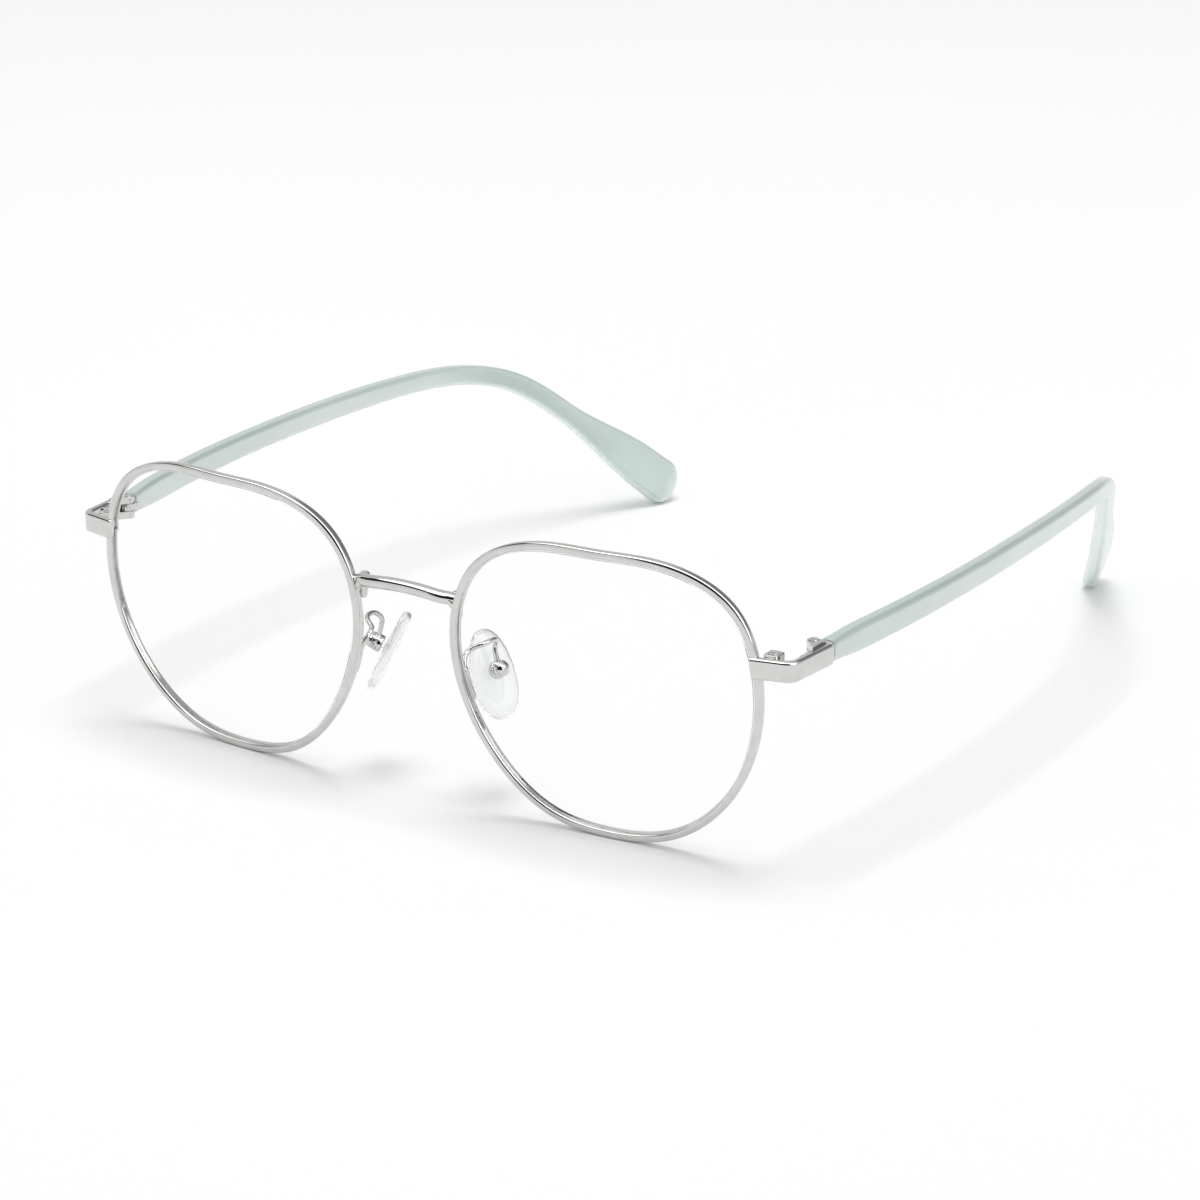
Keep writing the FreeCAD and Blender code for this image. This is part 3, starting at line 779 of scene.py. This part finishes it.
def make_temple_hinge():
    """Cap plate on the front of the temple, with the middle knuckle."""
    levels = knuckle_levels()
    hinge = Shape()
    outline = knuckle_outline(180, [(x, CAP_Y + CAP_OVERLAP) for x in CAP_KNUCKLE_X[::-1]])
    hinge.prism(outline, levels[1] + KNUCKLE_GAP, levels[2] - KNUCKLE_GAP, 0.08)
    section = rounded_rectangle(TEMPLE_WIDTH - 0.1, CAP_HEIGHT, 0.5)
    rings = []
    for along, inset in end_rounding(CAP_THICKNESS, 0.1, 3, 1):
        flat = inset_outline(section, inset)
        behind_cap = np.full(len(flat), FRONT_Y + CAP_Y + CAP_THICKNESS - along)
        rings.append(np.column_stack([flat[:, 0] + TEMPLE_POINTS[0][0], behind_cap,
                                      flat[:, 1] + STRIP_MIDDLE]))
    return hinge.skin(rings)


# ---------------------------------------------------------------- temples

def eased(table, share):
    """Value at a share, eased between the given ones."""
    for (low, first), (high, second) in zip(table, table[1:]):
        if share <= high:
            blend = (share - low) / (high - low)
            return first + (second - first) * blend * blend * (3 - 2 * blend)
    return table[-1][1]


def temple_curve():
    """Centre line of the temple."""
    return spline([behind(p) for p in TEMPLE_POINTS])


def temple_frame(shares):
    """Points on the temple's centre line with their sideways and upward directions."""
    curve = temple_curve()
    path = curve(shares)
    step = 1e-4
    along = unit(curve(np.clip(shares + step, 0, 1)) - curve(np.clip(shares - step, 0, 1)))
    side = unit(np.array([1.0, 0, 0]) - along * along[:, :1])
    return path, side, np.cross(side, along)


def temple_length():
    """Length of the temple along its centre line."""
    return path_length(temple_curve()(np.linspace(0, 1, 400)))


def make_temple():
    """Acetate temple: rounded bar that widens into a paddle with a round end."""
    length = temple_length()
    tip = 1 - TIP_ROUNDING / length
    # a station is its share of the length, its inset and how much of the height is left
    stations = []
    for i in range(4, -1, -1):
        a = math.pi / 2 * i / 4
        share = TEMPLE_START + TEMPLE_FRONT_BEVEL * (1 - math.sin(a)) / length
        stations.append((share, TEMPLE_FRONT_BEVEL * (1 - math.cos(a)), 1.0))
    for share in np.linspace(stations[-1][0], tip, 110)[1:]:
        stations.append((share, 0.0, 1.0))
    for i in range(1, 13):
        part = math.sin(math.pi / 2 * i / 12)
        left = max(math.sqrt(max(1 - part * part, 0)), 0.03)
        stations.append((tip + (1 - tip) * part, 0.0, left))
    path, side, upward = temple_frame(np.array([share for share, _, _ in stations]))
    sections = []
    for share, inset, left in stations:
        height = eased(TEMPLE_HEIGHTS, share) * left - 2 * inset
        width = TEMPLE_WIDTH - 2 * inset
        if left < 1:
            width = TEMPLE_WIDTH * (0.35 + 0.65 * left)
        if left < 0.04:
            width *= 0.4
        sections.append(rounded_rectangle(width, height, TEMPLE_CORNER, 8))
    return Shape().skin(swept(path, side, upward, sections))


def make_core():
    """Core wire with the flat shield plate at its front."""
    length = temple_length()
    shares = np.linspace(CORE_START, CORE_END, 140)
    path, side, upward = temple_frame(shares)
    shield_end = SHIELD_LENGTH / length
    sections = []
    for share in shares:
        blend = np.clip((shield_end - share) * length / SHIELD_BLEND, 0, 1)
        wide = CORE_RADIUS - SHIELD_THINNING * blend
        tall = CORE_RADIUS + (SHIELD_HALF_HEIGHT - CORE_RADIUS) * blend
        close = np.clip((CORE_END - share) * length / CORE_END_ROUNDING, 0.03, 1)
        sections.append(circle(1.0, 28) * [wide * close ** 0.5, tall * close ** 0.5])
    return Shape().skin(swept(path, side, upward, sections))


# ---------------------------------------------------------------- nose pads

def pad_axes():
    """Down the pad, across it and outward from the nose."""
    down = unit(PAD_DOWN)
    out = unit(PAD_OUT - down * (PAD_OUT @ down))
    return down, np.cross(out, down), out


def pad_origin():
    """Foot of the lug, level with the rocking screw."""
    down, _, _ = pad_axes()
    return PAD_CENTRE - down * PAD_SCREW_UP


def oval(half_length, half_width, egg, count=72):
    """Egg-shaped outline, wider towards its lower end."""
    turns = np.linspace(0, 2 * math.pi, count, endpoint=False)
    x = half_length * np.sign(np.cos(turns)) * abs(np.cos(turns)) ** 0.92
    y = half_width * np.sign(np.sin(turns)) * abs(np.sin(turns)) ** 0.92
    return np.stack([x, y * (1 + egg * x / half_length)], axis=1)


def oval_plate(half_length, half_width, egg, half_thickness, crown, rounding):
    """Oval plate in the pad's place: x down, y across, with a crowned face towards the nose."""
    down, across, out = pad_axes()
    outline = oval(half_length, half_width, egg)
    flat_part = inset_outline(outline, rounding)
    edge = half_thickness - crown
    rings = []

    def ring(flat, level):
        rings.append(PAD_CENTRE + flat[:, :1] * down + flat[:, 1:] * across + level * out)

    for share in (0.02, 0.3, 0.55, 0.8):
        ring(flat_part * share, edge + crown * (1 - share ** 2))
    for angle in np.linspace(90, -90, 13):
        a = math.radians(angle)
        ring(inset_outline(outline, rounding * (1 - math.cos(a))), edge * math.sin(a))
    for share in (0.8, 0.55, 0.3, 0.02):
        ring(flat_part * share, -edge - crown * (1 - share ** 2))
    return Shape().skin(rings)


def make_nose_pad():
    """Clear soft oval that rests on the nose."""
    return oval_plate(PAD_HALF_LENGTH, PAD_HALF_WIDTH, PAD_EGG, PAD_HALF_THICKNESS, PAD_CROWN,
                      PAD_ROUNDING)


def make_pad_insert():
    """Plate moulded into the pad, with the lug for the rocking screw."""
    insert = oval_plate(4.3, 1.8, 0.0, 0.25, 0.02, 0.2)
    down, across, out = pad_axes()
    section = rounded_rectangle(LUG_WIDTH, LUG_WIDTH, 0.15, 3)
    flat = section[:, :1] * down + section[:, 1:] * across
    rings = []
    for level in LUG_LEVELS:
        scale = LUG_FOOT if level == 0 else 1.0
        rings.append(pad_origin() + out * level + scale * flat)
    return insert.skin(rings)


def make_pad_box():
    """Cup with a domed back that holds the pad's lug."""
    out = pad_axes()[2]
    profile = [(0.75, 1.95), (1.0, 1.45), (1.15, 1.35), (1.32, 1.42), (1.4, 1.6), (1.4, 2.0)]
    profile += [(1.36, 2.5), (1.3, 2.65), (1.3, 2.75)]
    for i in range(13):
        a = math.pi / 2 * i / 12
        profile.append((1.32 * math.cos(a), 2.9 + 1.28 * math.sin(a)))
    return Shape().turned(profile, pad_origin(), out)


def make_pad_screw():
    """Small screw that crosses the box, with a round head at one side."""
    _, across, out = pad_axes()
    middle = pad_origin() + out * PAD_SCREW_OUT
    profile = [(0.0, -1.62), (0.3, -1.62), (0.42, -1.56), (0.45, -1.45), (0.45, -1.3), (0.28, -1.28),
               (0.28, 1.3), (0.36, 1.32), (0.38, 1.42), (0.3, 1.5), (0.0, 1.52)]
    return Shape().turned(profile, middle, across, 24)


def make_pad_arm():
    """Swan-neck wire from its flattened solder foot to the pad's box."""
    path = spline([behind(p) for p in ARM_POINTS])(np.linspace(0, 1, 120))
    arm = wire(path, [ARM_RADIUS, ARM_RADIUS], 0.25, 20)
    foot_path = spline([behind(p) for p in ARM_FOOT_POINTS])(np.linspace(0, 1, ARM_FOOT_STATIONS))
    along = tangents(foot_path)
    across = np.tile([1.0, 0.1, 0.3], (ARM_FOOT_STATIONS, 1))
    across = unit(across - along * (across * along).sum(1)[:, None])
    upward = np.cross(across, along)
    taper = [0.6, 0.9]
    scales = taper + [1.0] * (ARM_FOOT_STATIONS - 4) + taper[::-1]
    sections = [rounded_rectangle(*ARM_FOOT_SECTION, 0.3, 4) * scale for scale in scales]
    return arm.skin(swept(foot_path, across, upward, sections))


# ---------------------------------------------------------------- bridge

def make_bridge():
    """Round bar over the nose, filleted down each rim, with a solder tab behind each end."""
    half = [behind(p) for p in BRIDGE_POINTS]
    other = [p * [-1, 1, 1] for p in half]
    path = spline(half + [behind(BRIDGE_MIDDLE)] + other[::-1])(np.linspace(0, 1, 200))
    full = [BRIDGE_RADII[-1]] * 12
    bar = wire(path, BRIDGE_RADII + full + BRIDGE_RADII[::-1], BRIDGE_ROUNDING, 36)
    joins = ((FILLET_POINTS, FILLET_RADII, FILLET_ROUNDING), (TAB_POINTS, TAB_RADII, TAB_ROUNDING))
    for side in SIDES.values():
        for points, radii, rounding in joins:
            run = spline([behind(p) * [side, 1, 1] for p in points])(np.linspace(0, 1, 40))
            bar.add(wire(run, radii, rounding, 28))
    return bar


# ---------------------------------------------------------------- stage

def make_floor():
    """Large pale floor at table height."""
    row = FLOOR_CELLS + 1
    steps = np.linspace(-FLOOR_HALF, FLOOR_HALF, row)
    points = [(x * MM, y * MM, 0.0) for y in steps for x in steps]
    faces = []
    for j in range(FLOOR_CELLS):
        for i in range(FLOOR_CELLS):
            k = j * row + i
            faces.append((k, k + 1, k + row + 1, k + row))
    mesh = bpy.data.meshes.new("floor")
    mesh.from_pydata(points, [], faces)
    mesh.materials.append(floor_paint("floor_paint"))
    floor = bpy.data.objects.new("floor", mesh)
    bpy.context.scene.collection.objects.link(floor)


def add_area_light(name, place, target, size, power):
    """Soft rectangular light that the metal doesn't mirror; the room's cards do that."""
    light = bpy.data.lights.new(name, "AREA")
    light.shape = "RECTANGLE"
    light.size, light.size_y = size
    light.energy = power
    lamp = bpy.data.objects.new(name, light)
    lamp.location = place
    lamp.rotation_mode = "QUATERNION"
    lamp.rotation_quaternion = (Vector(target) - Vector(place)).to_track_quat("-Z", "Y")
    lamp.visible_glossy = False
    bpy.context.scene.collection.objects.link(lamp)


def grey_ramp(nodes, levels):
    """Ramp of greys; levels are (position, grey) from low to high."""
    ramp = nodes.new("ShaderNodeValToRGB")
    elements = ramp.color_ramp.elements
    for element, (position, grey) in zip(elements, (levels[0], levels[-1])):
        element.position = position
        element.color = (grey, grey, grey, 1)
    for position, grey in levels[1:-1]:
        elements.new(position).color = (grey, grey, grey, 1)
    return ramp


def mixed(nodes, links, factor, first, second):
    """Colour between two by a factor."""
    mix = nodes.new("ShaderNodeMix")
    mix.data_type = "RGBA"
    links.new(factor, mix.inputs["Factor"])
    links.new(first, mix.inputs["A"])
    links.new(second, mix.inputs["B"])
    return mix.outputs["Result"]


def make_world():
    """Even pale fill, and a room with light and dark cards that only mirrored rays see."""
    world = bpy.data.worlds.new("studio")
    world.use_nodes = True
    nodes = world.node_tree.nodes
    links = world.node_tree.links
    place = nodes.new("ShaderNodeTexCoord")
    height = nodes.new("ShaderNodeSeparateXYZ")
    links.new(place.outputs["Generated"], height.inputs["Vector"])

    def towards(direction, levels):
        facing = nodes.new("ShaderNodeVectorMath")
        facing.operation = "DOT_PRODUCT"
        facing.inputs[1].default_value = Vector(direction).normalized()
        links.new(place.outputs["Generated"], facing.inputs[0])
        ramp = grey_ramp(nodes, levels)
        links.new(facing.outputs["Value"], ramp.inputs["Fac"])
        return ramp.outputs["Color"]

    def by_height(levels):
        ramp = grey_ramp(nodes, levels)
        links.new(height.outputs["Z"], ramp.inputs["Fac"])
        return ramp.outputs["Color"]

    in_front = towards(ROOM_FRONT_DIRECTION, [(0.0, 0.0), (0.12, 1.0)])
    room = mixed(nodes, links, in_front, by_height(ROOM_BACK), by_height(ROOM_FRONT))
    for direction, grey, (outer, inner) in CARDS:
        inside = towards(direction, [(outer, 0.0), (inner, 1.0)])
        room = mixed(nodes, links, inside, room, by_height([(0.0, grey), (1.0, grey)]))
    mirrored = nodes["Background"]
    mirrored.inputs["Strength"].default_value = ROOM_STRENGTH
    links.new(room, mirrored.inputs["Color"])
    fill = nodes.new("ShaderNodeBackground")
    fill.inputs["Color"].default_value = (FILL_GREY, FILL_GREY, FILL_GREY, 1)
    backdrop = nodes.new("ShaderNodeBackground")
    backdrop.inputs["Color"].default_value = (BACKDROP_GREY, BACKDROP_GREY, BACKDROP_GREY, 1)
    ray = nodes.new("ShaderNodeLightPath")
    shown = fill.outputs["Background"]
    for kind, seen in (("Glossy", mirrored), ("Transmission", fill), ("Camera", backdrop)):
        choice = nodes.new("ShaderNodeMixShader")
        links.new(ray.outputs["Is " + kind + " Ray"], choice.inputs["Fac"])
        links.new(shown, choice.inputs[1])
        links.new(seen.outputs["Background"], choice.inputs[2])
        shown = choice.outputs["Shader"]
    links.new(shown, nodes["World Output"].inputs["Surface"])
    bpy.context.scene.world = world


def make_camera():
    """Camera from the front, above the glasses and to the wearer's left."""
    azimuth = math.radians(CAMERA_AZIMUTH)
    elevation = math.radians(CAMERA_ELEVATION)
    reach = math.cos(elevation)
    back = Vector((math.sin(azimuth) * reach, -math.cos(azimuth) * reach, math.sin(elevation)))
    level = Vector((math.cos(azimuth), math.sin(azimuth), 0))
    top = back.cross(level)
    roll = math.radians(CAMERA_ROLL)
    right = level * math.cos(roll) + top * math.sin(roll)
    top = top * math.cos(roll) - level * math.sin(roll)
    data = bpy.data.cameras.new("camera")
    data.sensor_width = 36.0
    data.lens = CAMERA_LENS
    data.clip_start = 0.05
    data.clip_end = 30.0
    camera = bpy.data.objects.new("camera", data)
    turn = Matrix((right, top, back)).transposed()
    camera.matrix_world = Matrix.Translation(Vector(CAMERA_PLACE) * MM) @ turn.to_4x4()
    bpy.context.scene.collection.objects.link(camera)
    bpy.context.scene.camera = camera


# ---------------------------------------------------------------- everything together

make_camera()
make_floor()
make_world()
add_area_light("overhead_softbox", SOFTBOX_PLACE, (0, 0, 0), SOFTBOX_SIZE, SOFTBOX_POWER)
bpy.context.scene.view_settings.view_transform = "Standard"

silver = metal("polished_silver", (0.62, 0.62, 0.61), (0.67, 0.67, 0.66),
               smooth=0.03, rough=0.07, bump=0.03)
steel = metal("screw_steel", (0.55, 0.55, 0.545), (0.62, 0.62, 0.61),
              smooth=0.10, rough=0.18, bump=0.08)
core_metal = metal("core_wire_metal", (0.60, 0.64, 0.63), (0.70, 0.74, 0.73),
                   smooth=0.25, rough=0.4, bump=0.12)
mint = acetate("mint_acetate")
silicone = clear_plastic("clear_silicone", (0.93, 0.945, 0.945), (0.97, 0.98, 0.98),
                         ior=1.41, smooth=0.08, rough=0.16, clearness=0.86)
insert_plastic = clear_plastic("insert_plastic", (0.93, 0.94, 0.94), (0.97, 0.97, 0.97),
                               ior=1.08, smooth=0.04, rough=0.08, clearness=1.0)
resin = lens_resin("clear_lens")

rim_screw = make_slotted_screw(RIM_SCREW_XY, BLOCK_LOW, RIM_SCREW_TOP, RIM_SCREW_RADIUS, RIM_SCREW_HEAD)
hinge_screw = make_slotted_screw(PIN_XY, BARREL_LOW, PIN_TOP, PIN_RADIUS, PIN_HEAD)

pair("rim_wire", make_rim(), silver, "front_frame", ["rim"])
pair("lens_disc", make_lens(), resin, "front_frame", ["lens"], LENS_SHARP)
pair("end_piece_strip", make_end_piece(), silver, "front_frame", ["end_piece"])
pair("rim_lock", make_rim_lock(), silver, "front_frame",
     ["upper_closing_block", "lower_closing_block"])
pair("rim_lock_screw", rim_screw, steel, "front_frame", ["rim_screw"])
pair("hinge_knuckles", make_front_hinge(), silver, "front_frame", ["front_hinge"])
pair("hinge_pin_screw", hinge_screw, steel, "front_frame", ["hinge_screw"])
pair("temple_cap", make_temple_hinge(), silver, "arm", ["temple_hinge"])
pair("temple_acetate", make_temple(), mint, "arm", ["temple"])
pair("temple_core", make_core(), core_metal, "arm", ["core_wire"])
pair("pad_arm_wire", make_pad_arm(), silver, "front_frame", ["pad_arm"])
pair("pad_box_cup", make_pad_box(), silver, "front_frame", ["pad_box"])
pair("pad_cross_screw", make_pad_screw(), steel, "front_frame", ["pad_screw"])
pair("pad_plate", make_pad_insert(), insert_plastic, "pad", ["pad_insert"])
pair("silicone_pad", make_nose_pad(), silicone, "pad", ["nose_pad"])
piece("bridge_bar", make_bridge(), silver, "front_frame", ["bridge"])
